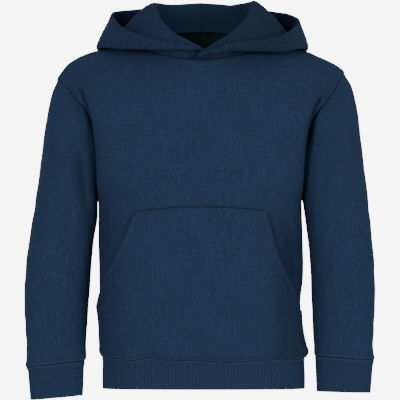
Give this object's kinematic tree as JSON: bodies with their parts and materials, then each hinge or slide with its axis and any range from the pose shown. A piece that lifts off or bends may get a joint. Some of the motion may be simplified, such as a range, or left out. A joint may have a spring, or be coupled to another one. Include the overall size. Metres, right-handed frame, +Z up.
{
  "type": "toddler hoodie",
  "caption": "Pullover toddler hoodie, filled out as worn with nobody in it: hood turned down, kangaroo pocket, ribbed cuffs and waistband.",
  "frame": {"origin": "on the centre line inside the neck, level with the points where the shoulder seams reach the neck, where the wearer's shoulders and neck hold the garment", "axes": "+Z up, the front of the garment faces -Y, the wearer's left is +X"},
  "size_m": [0.4448, 0.2166, 0.5075],
  "materials": {
    "fleece": "navy cotton sweatshirt knit with fine wales, matt",
    "lining": "navy cotton jersey, matt",
    "rib": "navy 1x1 rib knit, matt"
  },
  "bodies": {
    "root": {"front_panel": "fleece", "back_panel": "fleece", "sleeve_right": "fleece", "sleeve_left": "fleece", "kangaroo_pocket": "fleece", "hood_outer_right": "fleece", "hood_outer_left": "fleece", "hood_lining_right": "lining", "hood_lining_left": "lining", "cuff_right": "rib", "cuff_left": "rib", "waistband": "rib"}
  },
  "joints": []
}
